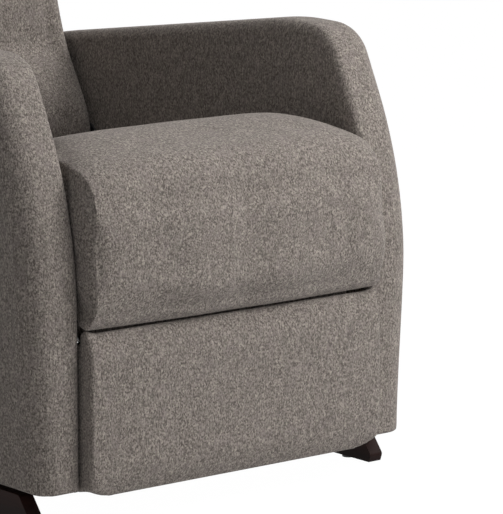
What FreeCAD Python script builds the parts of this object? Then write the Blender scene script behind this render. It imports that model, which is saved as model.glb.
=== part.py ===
import FreeCAD, Part
import math
import os
import re

# A rocker recliner: a sprung rocking body over a wooden floor base, with a reclining back and a footrest
# on lazy tongs. Millimetres; +Z up, the front looks along -Y, and the origin is on the floor under the middle.

Vector = FreeCAD.Vector
Placement = FreeCAD.Placement
Rotation = FreeCAD.Rotation

doc = FreeCAD.newDocument("rocker_recliner")
sheet = doc.addObject("Spreadsheet::Sheet", "Sizes")

# Driving dimensions. Depths are measured back from the footrest's front plane, heights from the floor.
SIZES = [
    ("overall_width", 660), ("front_plane", 478), ("clearance", 0.3), ("running_clearance", 0.05),
    ("arm_thickness", 80), ("arm_bottom", 52), ("arm_bottom_rise", 26), ("arm_front", 27),
    ("arm_height", 624), ("arm_rear_height", 548), ("arm_rear", 812), ("arm_outer_round", 38),
    ("arm_inner_round", 12), ("arm_foot_forward", 8), ("arm_brow_forward", 9), ("arm_brow_height", 417),
    ("arm_brow_round", 560), ("arm_shoulder", 91), ("arm_shoulder_round", 65), ("arm_crest", 190),
    ("arm_crest_round", 400), ("arm_rear_round", 60), ("arm_wall", 12), ("arm_panel", 18),
    ("arm_skin_board", 6), ("arm_channel_height", 52), ("arm_core_height", 470), ("arm_block", 30),
    ("rail_inset", 23), ("rail_thickness", 22), ("rail_height", 42), ("rail_front", 59), ("rail_length", 681),
    ("rail_nose", 25), ("glide_height", 3), ("glide_radius", 10),
    ("cross_rail_width", 36), ("cross_rail_height", 30), ("front_cross_rail", 232), ("rear_cross_rail", 582),
    ("track_width", 26), ("track_height", 21), ("screw_radius", 3), ("screw_length", 60),
    ("rock_line", 430), ("cam_radius", 250), ("cam_length", 120), ("cam_height", 94), ("cam_thickness", 22),
    ("cam_gap", 2), ("tube_size", 25), ("tube_wall", 2), ("tube_height", 165), ("spring_spread", 150),
    ("spring_radius", 18), ("spring_wire", 4.5), ("spring_turns", 6), ("spring_cup", 4), ("spring_boss", 10),
    ("spring_end_gap", 1.2),
    ("side_plate", 3), ("plate_foot", 36), ("plate_reach", 50), ("plate_chin", 120), ("plate_heel", 58),
    ("plate_waist", 92), ("plate_rear", 600), ("plate_margin", 32), ("bolt_height", 200), ("bolt_radius", 4),
    ("bolt_head", 4),
    ("seat_rail_height", 40), ("seat_rail_thickness", 28), ("deck_height", 306), ("seat_rail_front", 88),
    ("seat_rear", 625), ("webbing_thickness", 2.4), ("webbing_width", 50),
    ("seat_crown", 510), ("seat_crown_depth", 135), ("seat_crown_shift", 50), ("seat_edge_drop", 22),
    ("seat_rear_height", 374), ("seat_rear_swell", 8), ("seat_bulge", 19), ("seat_belly", 340),
    ("seat_end_round", 12), ("seat_lip", 273), ("seat_lip_front", 10), ("seat_lip_depth", 60), ("seat_hem", 16),
    ("seat_hem_set_in", 22), ("seat_wing", 10), ("seat_corner", 14), ("seat_corner_rise", 24),
    ("pivot_depth", 122), ("pivot_height", 240), ("link_length", 196), ("link_width", 16),
    ("link_thickness", 4), ("link_gap", 2), ("tongs_tilt", 10), ("closed_angle", 84.5), ("shaft_radius", 7),
    ("pin_radius", 4), ("slot_play", 0.3), ("handle_length", 170), ("handle_lean", 8),
    ("handle_thickness", 5), ("grip_thickness", 9), ("grip_length", 104),
    ("footrest_side_gap", 1),
    ("footrest_half_width", "=overall_width / 2 - arm_thickness - footrest_side_gap"),
    ("footrest_bottom", 50), ("footrest_height", 218), ("footrest_pad", 25), ("footrest_crown", 6),
    ("footrest_edge", 11), ("footrest_roll", 45), ("footrest_end_round", 3), ("footrest_corner", 52),
    ("footrest_corner_rise", 20), ("footrest_top_corner", 10), ("footrest_board", 15), ("board_inset", 12),
    ("board_top_gap", 8), ("cover_return", 10), ("bracket_flange", 44), ("bracket_thickness", 3),
    ("hinge_depth", 700), ("hinge_height", 392), ("back_lean", 20),
    ("back_side_gap", 6), ("back_half_width", "=overall_width / 2 - arm_thickness - back_side_gap"),
    ("back_below", 38), ("back_length", 612), ("back_front", 57), ("back_crown", 18), ("seam_depth", 9),
    ("lumbar_seam", 149), ("head_seam", 360), ("back_frame", 28), ("back_rail_height", 40),
    ("bracket_height", 150),
    ("stile_width", 30), ("stile_set_in", 8), ("back_pad", 27), ("back_bracket", 4), ("hinge_pin_radius", 5),
    ("rear_panel_depth", 775), ("rear_panel", 25), ("rear_panel_top", 345),
]
for row, (name, size) in enumerate(SIZES, 1):
    sheet.set("A%d" % row, name)
    sheet.set("B%d" % row, str(size))
    sheet.setAlias("B%d" % row, name)
doc.recompute()


def size(name):
    return float(sheet.get(name))


def rule(text):
    return re.sub(r"[A-Za-z_]\w*", lambda word: "Sizes." + word.group(), text)


def depth(back):
    # The frame's y of a point that lies this far behind the footrest's front plane.
    return back - size("front_plane")


half_width = size("overall_width") / 2
inside = half_width - size("arm_thickness")
SIDES = (("left", -1), ("right", 1))
parts = []


def node(label, shape_object):
    shape_object.Label = label
    parts.append(shape_object)
    return shape_object


def slab_start(side, inner, thickness):
    # The lower x of a slab whose face towards the middle is at this distance.
    return inner if side > 0 else -inner - thickness


def box(name, corner, length, width, height):
    block = doc.addObject("Part::Box", name)
    block.setExpression("Length", rule(length))
    block.setExpression("Width", rule(width))
    block.setExpression("Height", rule(height))
    block.Placement.Base = Vector(*corner)
    return block


def rod(name, start, radius, length):
    # A round bar along +X.
    bar = doc.addObject("Part::Cylinder", name)
    bar.setExpression("Radius", rule(radius))
    bar.setExpression("Height", rule(length))
    bar.Placement = Placement(Vector(*start), Rotation(Vector(0, 1, 0), 90))
    return bar


def disc(name, foot, radius, height):
    # An upright round bar.
    bar = doc.addObject("Part::Cylinder", name)
    bar.setExpression("Radius", rule(radius))
    bar.setExpression("Height", rule(height))
    bar.Placement.Base = Vector(*foot)
    return bar


def fuse(name, shapes):
    whole = doc.addObject("Part::MultiFuse", name)
    whole.Shapes = shapes
    return whole


def cut(name, base, tools):
    tool = tools[0] if len(tools) == 1 else fuse(name + "_cutter", tools)
    whole = doc.addObject("Part::Cut", name)
    whole.Base = base
    whole.Tool = tool
    return whole


def group(name, members):
    whole = doc.addObject("Part::Compound", name)
    whole.Links = members
    return whole


def flat(point):
    return Vector(point[0], point[1], 0)


def arc_between(centre, radius, first, second):
    # The shorter arc about a centre from one point to another, in the sketch's plane.
    start = math.atan2(first.y - centre.y, first.x - centre.x)
    turn = (math.atan2(second.y - centre.y, second.x - centre.x) - start) % (2 * math.pi)
    if turn > math.pi:
        start, turn = start + turn, 2 * math.pi - turn
    return Part.ArcOfCircle(Part.Circle(centre, Vector(0, 0, 1), radius), start, start + turn)


def rounded(corners):
    # A closed outline through (depth, height, radius) corners, each rounded by a tangent arc.
    joints = []
    count = len(corners)
    for index, (back, up, radius) in enumerate(corners):
        here = Vector(depth(back), up, 0)
        before = Vector(depth(corners[index - 1][0]), corners[index - 1][1], 0)
        after = Vector(depth(corners[(index + 1) % count][0]), corners[(index + 1) % count][1], 0)
        to_before = (before - here).normalize()
        to_after = (after - here).normalize()
        half = to_before.getAngle(to_after) / 2
        reach = radius / math.tan(half)
        first = here + to_before * reach
        second = here + to_after * reach
        middle = (to_before + to_after).normalize()
        joints.append((first, second, here + middle * (radius / math.sin(half)), radius))
    edges = []
    for index, (first, second, centre, radius) in enumerate(joints):
        if radius > 0:
            edges.append(arc_between(centre, radius, first, second))
        edges.append(Part.LineSegment(second, joints[(index + 1) % count][0]))
    return edges


def stadium(start, end, radius):
    # A bar with round ends between two (y, z) points.
    first, second = flat(start), flat(end)
    along = (second - first).normalize()
    across = Vector(-along.y, along.x, 0) * radius
    edges = []
    for centre, way in ((first, -1), (second, 1)):
        tip = centre + along * radius * way
        for flank in (1, -1):
            edges.append(arc_between(centre, radius, centre + across * flank, tip))
    for flank in (1, -1):
        edges.append(Part.LineSegment(first + across * flank, second + across * flank))
    return edges


def ring(centre, radius):
    return Part.Circle(flat(centre), Vector(0, 0, 1), radius)


def plate(name, x_low, thickness, edges):
    # A flat piece drawn in place from the side and padded along +X.
    body = doc.addObject("PartDesign::Body", name)
    sketch = body.newObject("Sketcher::SketchObject", name + "_outline")
    planes = [feature for feature in body.Origin.OriginFeatures if feature.Role == "YZ_Plane"]
    sketch.AttachmentSupport = (planes[0], [""])
    sketch.MapMode = "FlatFace"
    sketch.addGeometry(edges, False)
    pad = body.newObject("PartDesign::Pad", name + "_pad")
    pad.Profile = sketch
    pad.setExpression("Length", rule(thickness))
    body.Placement.Base = Vector(x_low, 0, 0)
    return body


def round_rim(body, x_face, radius, lowest):
    # Round the outline's edges on one side face, apart from the edge along the bottom.
    doc.recompute()
    chosen = []
    for index, edge in enumerate(body.Tip.Shape.Edges, 1):
        bounds = edge.BoundBox
        on_face = abs(bounds.XMin - x_face) < 1e-4 and abs(bounds.XMax - x_face) < 1e-4
        if on_face and bounds.ZMax > lowest + 1:
            chosen.append("Edge%d" % index)
    base = body.Tip
    fillet = body.newObject("PartDesign::Fillet", body.Name + "_rim")
    fillet.Base = (base, chosen)
    fillet.setExpression("Radius", rule(radius))
    doc.recompute()
    return body


def wire_through(stations):
    # A closed outline of straight lines and three-point arcs: each station is a point, or (middle, point).
    edges = []
    here = stations[0]
    for station in stations[1:] + stations[:1]:
        if isinstance(station, tuple):
            middle, end = station
            edges.append(Part.Arc(here, middle, end).toShape())
        else:
            end = station
            edges.append(Part.LineSegment(here, end).toShape())
        here = end
    return Part.Wire(edges)


def arc_middle(start, way, end):
    # The middle of the arc that leaves one point along a direction and reaches another.
    chord = end - start
    inward = (chord - way * chord.dot(way)).normalize()
    radius = chord.dot(chord) / (2 * chord.dot(inward))
    centre = start + inward * radius
    return centre + ((start + end) * 0.5 - centre).normalize() * radius


def both_halves(right_half):
    # A closed front view from its right half: the same points and arcs follow mirrored, in reverse order.
    def mirror(point):
        return Vector(-point.x, point.y, point.z)

    ends = [station[1] if isinstance(station, tuple) else station for station in right_half]
    whole = right_half + [mirror(ends[-1])]
    for index in range(len(right_half) - 1, 0, -1):
        station, end = right_half[index], mirror(ends[index - 1])
        whole.append((mirror(station[0]), end) if isinstance(station, tuple) else end)
    return wire_through(whole)


def solid_feature(name, shape):
    feature = doc.addObject("Part::Feature", name)
    feature.Shape = shape
    return feature


# Base: floor rails with sloping noses, cross rails, tracks, glides and screws.
rail_outer = half_width - size("rail_inset")
rail_inner = rail_outer - size("rail_thickness")
rail_foot = size("glide_height")
rail_top = rail_foot + size("rail_height")
rail_rear = size("rail_front") + size("rail_length")
cross_top = rail_foot + size("cross_rail_height")
track_top = cross_top + size("track_height")
track_inner = inside - size("side_plate") - size("track_width")


def base_rail(side_name, side):
    nose_tip = 4
    tip_height = rail_foot + 11
    corners = [
        (size("rail_front") + nose_tip, rail_foot, 0),
        (size("rail_front"), tip_height, 6),
        (size("rail_front") + size("rail_nose"), rail_top, 8),
        (rail_rear - size("rail_nose"), rail_top, 8),
        (rail_rear, tip_height, 6),
        (rail_rear - nose_tip, rail_foot, 0),
    ]
    low = slab_start(side, rail_inner, size("rail_thickness"))
    label = "base_rail_" + side_name
    node(label, plate(label, low, "rail_thickness", rounded(corners)))


def cross_rail(label, back):
    corner = (-rail_inner, depth(back), rail_foot)
    span = "overall_width - 2 * rail_inset - 2 * rail_thickness"
    node(label, box(label, corner, span, "cross_rail_width", "cross_rail_height"))


def track(side_name, side):
    label = "rocker_track_" + side_name
    low = slab_start(side, track_inner, size("track_width"))
    corner = (low, depth(size("front_cross_rail")), cross_top)
    length = "rear_cross_rail + cross_rail_width - front_cross_rail"
    node(label, box(label, corner, "track_width", length, "track_height"))


for side_name, side in SIDES:
    base_rail(side_name, side)
    track(side_name, side)
cross_rail("front_cross_rail", size("front_cross_rail"))
cross_rail("rear_cross_rail", size("rear_cross_rail"))

glides = []
screws = []
rail_middle = (rail_inner + rail_outer) / 2
glide_inset = 60
head_height = 2.5
for side_name, side in SIDES:
    for back in (size("rail_front") + glide_inset, rail_rear - glide_inset):
        name = "glide_%s_%d" % (side_name, len(glides))
        foot = (side * rail_middle, depth(back), 0)
        glides.append(disc(name, foot, "glide_radius", "glide_height"))
    for back in (size("front_cross_rail"), size("rear_cross_rail")):
        centre = (depth(back + size("cross_rail_width") / 2), rail_foot + size("cross_rail_height") / 2)
        name = "screw_%s_%d" % (side_name, len(screws))
        head_low = slab_start(side, rail_outer, head_height)
        shank_low = slab_start(side, rail_outer - size("screw_length"), size("screw_length"))
        head = rod(name + "_head", (head_low,) + centre, "2 * screw_radius", str(head_height))
        shank = rod(name + "_shank", (shank_low,) + centre, "screw_radius", "screw_length")
        screws.append(fuse(name, [head, shank]))
node("floor_glides", group("floor_glides", glides))
node("base_screws", group("base_screws", screws))

# Rocker springs between cups on the cross rails and cups under the cross tubes.
tube_under = size("tube_height") - size("tube_size") / 2
spring_foot = cross_top + size("spring_cup")
spring_head = tube_under - size("spring_cup")
SPRING_ROWS = (("front", size("front_cross_rail")), ("rear", size("rear_cross_rail")))


def biarc(first, first_way, last, last_way):
    # Two arcs that leave one point and reach another along the given directions.
    span = last - first
    both = first_way + last_way
    square = 2 * (1 - first_way.dot(last_way))
    mixed = 2 * span.dot(both)
    reach = (-mixed + math.sqrt(mixed * mixed + 4 * square * span.dot(span))) / (2 * square)
    joint = (first + first_way * reach + last - last_way * reach) * 0.5
    return [
        Part.Arc(first, arc_middle(first, first_way, joint), joint).toShape(),
        Part.Arc(joint, arc_middle(last, last_way, joint), last).toShape(),
    ]


def coil(centre_x, centre_y):
    # One open compression spring: a round wire on a helix of quarter turns, with straight ends.
    radius, wire = size("spring_radius"), size("spring_wire")
    low = spring_foot + wire / 2 + size("spring_end_gap")
    high = spring_head - wire / 2 - size("spring_end_gap")
    quarters = int(round(4 * size("spring_turns")))
    rise = (high - low) / quarters
    slope = rise / (radius * math.pi / 2)

    def place(quarter):
        angle = quarter * math.pi / 2
        spot = Vector(radius * math.cos(angle), radius * math.sin(angle), low + rise * quarter)
        way = Vector(-math.sin(angle), math.cos(angle), slope)
        return spot + Vector(centre_x, centre_y, 0), way.normalize()

    first, first_way = place(0)
    last, last_way = place(quarters)
    lead_in = first - first_way * wire
    lead_out = last + last_way * wire
    edges = [Part.LineSegment(lead_in, first).toShape()]
    for quarter in range(quarters):
        spot, way = place(quarter)
        following, following_way = place(quarter + 1)
        edges += biarc(spot, way, following, following_way)
    edges.append(Part.LineSegment(last, lead_out).toShape())
    profile = Part.Wire(Part.Circle(lead_in, first_way, wire / 2).toShape())
    turns = Part.Wire(edges).makePipeShell([profile], True, False)
    return turns, rise * 4 - wire


springs = []
cups_low = []
cups_high = []
cup_radius = "spring_radius + spring_wire"
boss_radius = "spring_radius - spring_wire"
for row_name, back in SPRING_ROWS:
    row_y = depth(back + size("cross_rail_width") / 2)
    for side_name, side in SIDES:
        centre_x = side * size("spring_spread")
        turns, self_gap = coil(centre_x, row_y)
        springs.append(solid_feature("spring_%s_%s" % (row_name, side_name), turns))
        name = "cup_%s_%s" % (row_name, side_name)
        cup_foot = (centre_x, row_y, cross_top)
        low_disc = disc(name + "_low", cup_foot, cup_radius, "spring_cup")
        low_boss = disc(name + "_low_boss", cup_foot, boss_radius, "spring_cup + spring_boss")
        cups_low.append(fuse(name + "_lower", [low_disc, low_boss]))
        high_disc = disc(name + "_high", (centre_x, row_y, spring_head), cup_radius, "spring_cup")
        boss_foot = (centre_x, row_y, spring_head - size("spring_boss"))
        high_boss = disc(name + "_high_boss", boss_foot, boss_radius, "spring_cup + spring_boss")
        cups_high.append(fuse(name + "_upper", [high_disc, high_boss]))
print("least gap between the turns of a rocker spring: %.2f mm" % self_gap)
node("rocker_springs", group("rocker_springs", springs))
node("lower_spring_cups", group("lower_spring_cups", cups_low))
node("upper_spring_cups", group("upper_spring_cups", cups_high))

# Footrest tongs, worked out from the pivot, the link length and the tilt of the way out.
tilt = math.radians(size("tongs_tilt"))
closed = math.radians(size("closed_angle"))
forward = Vector(-math.cos(tilt), math.sin(tilt), 0)
upward = Vector(math.sin(tilt), math.cos(tilt), 0)
stage = size("link_length") * math.cos(closed)
spread = size("link_length") * math.sin(closed)
drive_pivot = Vector(depth(size("pivot_depth")), size("pivot_height"), 0)
upper_pivot = drive_pivot + forward * stage
slot_low = drive_pivot - upward * spread
lower_pivot = slot_low + forward * stage
bracket_foot = slot_low + forward * (2 * stage)
slot_high = drive_pivot - upward * stage
first_cross = (drive_pivot + lower_pivot) * 0.5
second_cross = (upper_pivot + bracket_foot) * 0.5
pin_hole = size("pin_radius") + size("running_clearance")
shaft_hole = size("shaft_radius") + size("running_clearance")
plate_face = inside - size("side_plate")
drive_layer = plate_face - size("bracket_thickness") - size("link_thickness")
cross_layer = drive_layer - size("link_gap") - size("link_thickness")
link_radius = size("link_width") / 2

# Side plates: they carry the tongs, the back hinge, the seat rails, the cams and the arms.
hinge = Vector(depth(size("hinge_depth")), size("hinge_height"), 0)
BOLT_DEPTHS = (190, 330, 470, 590)
BOLTS = [(back, size("bolt_height")) for back in BOLT_DEPTHS]


def side_plate(side_name, side):
    top = size("deck_height")
    waist = size("plate_waist")
    front = size("pivot_depth") - size("plate_reach")
    heel = front + size("plate_heel")
    margin = size("plate_margin")
    hinge_top = size("hinge_height") + margin
    rear = size("hinge_depth") + margin + 6
    corners = [
        (front, size("plate_foot"), 10),
        (front, size("plate_chin"), 40),
        (front + 8, top, 10),
        (size("seat_rear") - 15, top, 10),
        (size("hinge_depth") - margin, hinge_top, 20),
        (rear, hinge_top, 24),
        (rear, size("hinge_height") - 2 * margin, 30),
        (size("plate_rear"), waist, 30),
        (heel + 30, waist, 10),
        (heel, size("plate_foot"), 10),
    ]
    edges = rounded(corners)
    edges.append(ring(drive_pivot, shaft_hole))
    edges.append(ring(hinge, size("hinge_pin_radius")))
    edges += stadium(slot_low, slot_high, size("pin_radius") + size("slot_play"))
    for back, up in BOLTS:
        edges.append(ring((depth(back), up), size("bolt_radius") + size("running_clearance")))
    label = "side_plate_" + side_name
    low = slab_start(side, plate_face, size("side_plate"))
    node(label, plate(label, low, "side_plate", edges))


for side_name, side in SIDES:
    side_plate(side_name, side)

bolts = []
bolt_reach = "side_plate + arm_wall + arm_panel"
for side_name, side in SIDES:
    for index, (back, up) in enumerate(BOLTS):
        name = "bolt_%s_%d" % (side_name, index)
        centre = (depth(back), up)
        reach = size("side_plate") + size("arm_wall") + size("arm_panel")
        head_low = slab_start(side, plate_face - size("bolt_head"), size("bolt_head"))
        shank_low = slab_start(side, plate_face, reach)
        head = rod(name + "_head", (head_low,) + centre, "1.8 * bolt_radius", "bolt_head")
        shank = rod(name + "_shank", (shank_low,) + centre, "bolt_radius", bolt_reach)
        bolts.append(fuse(name, [head, shank]))
node("side_plate_bolts", group("side_plate_bolts", bolts))


# Rocker cams: curved hardwood feet on the side plates that roll on the tracks.
def rocker_cam(side_name, side):
    foot = track_top + size("cam_gap")
    middle = depth(size("rock_line"))
    half = size("cam_length") / 2
    rise = size("cam_radius") - math.sqrt(size("cam_radius") ** 2 - half ** 2)
    centre = Vector(middle, foot + size("cam_radius"), 0)
    front = Vector(middle - half, foot + rise, 0)
    rear = Vector(middle + half, foot + rise, 0)
    top = foot + size("cam_height")
    edges = [
        arc_between(centre, size("cam_radius"), front, rear),
        Part.LineSegment(rear, Vector(rear.x, top, 0)),
        Part.LineSegment(Vector(rear.x, top, 0), Vector(front.x, top, 0)),
        Part.LineSegment(Vector(front.x, top, 0), front),
    ]
    label = "rocker_cam_" + side_name
    low = slab_start(side, plate_face - size("cam_thickness"), size("cam_thickness"))
    node(label, plate(label, low, "cam_thickness", edges))


for side_name, side in SIDES:
    rocker_cam(side_name, side)

# Cross tubes: square steel tubes between the side plates, over the springs.
inside_span = "overall_width - 2 * arm_thickness - 2 * side_plate"
for row_name, back in SPRING_ROWS:
    label = row_name + "_cross_tube"
    row_y = depth(back + size("cross_rail_width") / 2)
    corner = (-plate_face, row_y - size("tube_size") / 2, tube_under)
    outer = box(label + "_outer", corner, inside_span, "tube_size", "tube_size")
    wall = size("tube_wall")
    bore_corner = (corner[0], corner[1] + wall, corner[2] + wall)
    bore_size = "tube_size - 2 * tube_wall"
    bore = box(label + "_bore", bore_corner, inside_span, bore_size, bore_size)
    node(label, cut(label, outer, [bore]))

# Seat frame: four wooden rails between the side plates, with webbing over them.
rail_low = size("deck_height") - size("seat_rail_height")
rear_rail_front = size("seat_rear") - size("seat_rail_thickness") + 3


def seat_cross_rail(label, back):
    corner = (-plate_face, depth(back), rail_low)
    node(label, box(label, corner, inside_span, "seat_rail_thickness", "seat_rail_height"))


seat_cross_rail("seat_front_rail", size("seat_rail_front"))
seat_cross_rail("seat_rear_rail", rear_rail_front)
side_rail_front = size("seat_rail_front") + size("seat_rail_thickness")
side_rail_length = "seat_rear + 3 - seat_rail_front - 2 * seat_rail_thickness"
for side_name, side in SIDES:
    label = "seat_side_rail_" + side_name
    low = slab_start(side, plate_face - size("seat_rail_thickness"), size("seat_rail_thickness"))
    corner = (low, depth(side_rail_front), rail_low)
    node(label, box(label, corner, "seat_rail_thickness", side_rail_length, "seat_rail_height"))

deck_length = "seat_rear + 3 - seat_rail_front"
deck_front = depth(size("seat_rail_front"))
deck_run = size("seat_rear") + 3 - size("seat_rail_front")
STRAPS_LENGTHWISE = 5
STRAPS_CROSSWISE = 6
straps = []
for index in range(STRAPS_LENGTHWISE):
    pitch = 2 * plate_face / STRAPS_LENGTHWISE
    low = -plate_face + pitch * (index + 0.5) - size("webbing_width") / 2
    corner = (low, deck_front, size("deck_height"))
    straps.append(box("long_strap_%d" % index, corner, "webbing_width", deck_length, "webbing_thickness"))
for index in range(STRAPS_CROSSWISE):
    pitch = deck_run / STRAPS_CROSSWISE
    front = deck_front + pitch * (index + 0.5) - size("webbing_width") / 2
    corner = (-plate_face, front, size("deck_height") + size("webbing_thickness"))
    straps.append(box("cross_strap_%d" % index, corner, inside_span, "webbing_width", "webbing_thickness"))
node("seat_webbing", group("seat_webbing", straps))
cushion_floor = size("deck_height") + 2 * size("webbing_thickness") + size("clearance")


# Arms: a padded shell, hollow below, over a plywood inner panel, a thin outer board and spacer blocks.
def arm_corners(margin):
    # The arm's side outline, from the foot of its front over the shoulder to the rear, grown by a margin.
    front = size("arm_front") - margin
    foot = size("arm_bottom") - margin
    top = size("arm_height") + margin
    rear = size("arm_rear") + margin
    rear_top = size("arm_rear_height") + margin
    return [
        (front - size("arm_foot_forward"), foot, 0),
        (front - size("arm_brow_forward"), size("arm_brow_height"), size("arm_brow_round")),
        (front + size("arm_shoulder"), top - 1, size("arm_shoulder_round")),
        (front + size("arm_crest"), top + 2, size("arm_crest_round")),
        (rear, rear_top, size("arm_rear_round")),
        (rear, foot + size("arm_bottom_rise"), 0),
    ]


cavity_width = "arm_thickness - 2 * arm_wall"
channel_front = size("rail_front") - 3
core_front = 100
core_margin = 32
core_rear = size("arm_rear") - core_margin
core_run = "arm_rear - %d - %d" % (core_margin, core_front)
core_foot = size("arm_bottom") + size("arm_bottom_rise") + 2
handle_side = -1


def arm(side_name, side):
    low = slab_start(side, inside, size("arm_thickness"))
    outer_face = side * half_width
    inner_face = side * inside
    body = plate("arm_form_" + side_name, low, "arm_thickness", rounded(arm_corners(0)))
    sole = size("arm_bottom") + size("arm_bottom_rise")
    round_rim(body, size("arm_thickness") if side > 0 else 0, "arm_outer_round", sole)
    round_rim(body, 0 if side > 0 else size("arm_thickness"), "arm_inner_round", sole)
    cavity_low = slab_start(side, inside + size("arm_wall"), size("arm_thickness") - 2 * size("arm_wall"))
    channel_corner = (cavity_low, depth(channel_front), size("arm_bottom") - 1)
    channel_run = "arm_rear - 22 - rail_front + 3"
    channel = box("arm_channel_" + side_name, channel_corner, cavity_width, channel_run,
                  "arm_channel_height + 1")
    core_corner = (cavity_low, depth(core_front), size("arm_bottom") - 1)
    core = box("arm_core_" + side_name, core_corner, cavity_width, core_run, "arm_core_height - arm_bottom + 1")
    cutters = [channel, core]
    panel_low = slab_start(side, inside + size("arm_wall"), size("arm_panel"))
    panel_corner = (panel_low, depth(core_front), core_foot)
    panel_rise = "arm_core_height - arm_bottom - arm_bottom_rise - 2"
    panel = box("arm_panel_form_" + side_name, panel_corner, "arm_panel", core_run, panel_rise)
    board_inner = half_width - size("arm_wall") - size("arm_skin_board")
    board_low = slab_start(side, board_inner, size("arm_skin_board"))
    board_corner = (board_low, depth(core_front), core_foot)
    board = box("arm_board_form_" + side_name, board_corner, "arm_skin_board", core_run, panel_rise)
    if side == handle_side:
        start = (min(outer_face, inner_face) - 1, drive_pivot.x, drive_pivot.y)
        holes = []
        for name in ("pad", "panel", "board"):
            holes.append(rod("shaft_hole_" + name, start, "shaft_radius + 2", "arm_thickness + 2"))
        cutters.append(holes[0])
        panel = cut("arm_inner_panel_" + side_name, panel, [holes[1]])
        board = cut("arm_outer_board_" + side_name, board, [holes[2]])
    node("arm_pad_" + side_name, cut("arm_pad_" + side_name, body, cutters))
    node("arm_inner_panel_" + side_name, panel)
    node("arm_outer_board_" + side_name, board)
    block_low = slab_start(side, inside + size("arm_wall") + size("arm_panel"),
                           board_inner - inside - size("arm_wall") - size("arm_panel"))
    block_width = "arm_thickness - 2 * arm_wall - arm_panel - arm_skin_board"
    block_foot = size("pivot_height") + 40
    upright = "arm_core_height - pivot_height - 40"
    block = size("arm_block")
    top_corner = (block_low, depth(core_front + block), size("arm_core_height") - block)
    rear_corner = (block_low, depth(core_rear - block), block_foot)
    front_corner = (block_low, depth(core_front), block_foot)
    blocks = [
        box("arm_front_block_" + side_name, front_corner, block_width, "arm_block", upright),
        box("arm_rear_block_" + side_name, rear_corner, block_width, "arm_block", upright),
        box("arm_top_block_" + side_name, top_corner, block_width, core_run + " - 2 * arm_block", "arm_block"),
    ]
    node("arm_blocks_" + side_name, group("arm_blocks_" + side_name, blocks))


for side_name, side in SIDES:
    arm(side_name, side)

# Lower rear panel between the arms, below the back.
panel_corner = (-inside, depth(size("rear_panel_depth")), size("arm_bottom") + size("arm_bottom_rise"))
between_arms = "overall_width - 2 * arm_thickness"
node("lower_rear_panel", box("lower_rear_panel", panel_corner, between_arms, "rear_panel",
                             "rear_panel_top - arm_bottom - arm_bottom_rise"))


# Seat cushion: crowned, with a full rolled front that hangs over the front rail and just laps the arm fronts.
# A hem under the front, between the footrest's links, closes the view over the top of the footrest.
seat_reach = inside + size("seat_wing")


def seat_section(across):
    # The cushion's side outline at a distance from the middle. The ends are lower, with the crown further
    # forward, and in the last few centimetres the front draws back.
    share = abs(across) / seat_reach
    crown = size("seat_crown") - size("seat_edge_drop") * share ** 5
    crown_depth = size("seat_crown_depth") - size("seat_crown_shift") * share ** 5
    front = size("seat_end_round") * share ** 16 - size("seat_bulge")
    lip = size("seat_lip") + 3 * share ** 4
    belly = size("seat_belly")
    rear = size("seat_rear")
    rear_top = size("seat_rear_height") - size("seat_edge_drop") * share ** 5 / 3
    ledge = size("seat_lip_depth")
    brow, brow_fall = front + 56, 7
    chest, chest_fall = front + 3, 70
    rear_swell, lip_rise = size("seat_rear_swell"), 17
    hem = ledge - size("seat_hem")

    def at(back, up):
        return Vector(across, depth(back), up)

    return wire_through([
        at(ledge, cushion_floor),
        at(rear, cushion_floor),
        at(rear, rear_top),
        (at((rear + crown_depth) / 2, (rear_top + crown) / 2 + rear_swell), at(crown_depth, crown)),
        (at((crown_depth + brow) / 2, crown - brow_fall / 4), at(brow, crown - brow_fall)),
        (at(front + 17, crown - 25), at(chest, crown - chest_fall)),
        (at(front + 1, (crown - chest_fall + belly) / 2), at(front, belly)),
        (at(front + 10, lip + lip_rise), at(size("seat_lip_front"), lip)),
        at(hem, lip),
        at(hem, lip - size("seat_hem")),
        at(ledge, lip - size("seat_hem")),
    ])


SEAT_SHARES = (-1.01, -0.95, -0.85, -0.5, 0, 0.5, 0.85, 0.95, 1.01)
seat_sections = [seat_section(share * seat_reach) for share in SEAT_SHARES]
seat_form = solid_feature("seat_form", Part.makeLoft(seat_sections, True, False))


def seat_limit():
    # The cushion's front view: lower corners drawn in, the rest left to the sections.
    low, high = size("seat_lip") - size("seat_hem") - 1, size("seat_crown") + 40

    def at(across, up):
        return Vector(across, depth(-60), up)

    corner_foot = size("seat_lip") - 2
    hem_half = inside - size("seat_hem_set_in")
    foot = at(seat_reach - size("seat_corner"), corner_foot)
    flank = at(seat_reach, corner_foot + size("seat_corner_rise"))
    outline = both_halves([
        at(hem_half, low),
        at(hem_half, corner_foot),
        foot,
        (arc_middle(flank, Vector(0, 0, -1), foot), flank),
        at(seat_reach, high),
    ])
    return solid_feature("seat_limit", Part.Face(outline).extrude(Vector(0, size("seat_rear") + 80, 0)))


seat_rounded = doc.addObject("Part::Common", "seat_rounded")
seat_rounded.Base = seat_form
seat_rounded.Tool = seat_limit()
arm_room = []
for side_name, side in SIDES:
    low = slab_start(side, plate_face - size("clearance"), size("arm_thickness") + 20)
    outline = rounded(arm_corners(size("clearance")))
    arm_room.append(plate("arm_room_" + side_name, low, "arm_thickness + 20", outline))
node("seat_cushion", cut("seat_cushion", seat_rounded, arm_room))

# Footrest tongs: drive links on the shaft, cross links behind them, short links and the footrest's brackets.
drive_pins = []
cross_pins = []
bracket_pins = []
pin_run = "2 * link_thickness + link_gap + 2"
pin_length = 2 * size("link_thickness") + size("link_gap") + 2
slot_pin_run = "2 * link_thickness + link_gap + bracket_thickness + side_plate - 0.5"
slot_pin_length = pin_length - 2 + size("bracket_thickness") + size("side_plate") - 0.5


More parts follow.
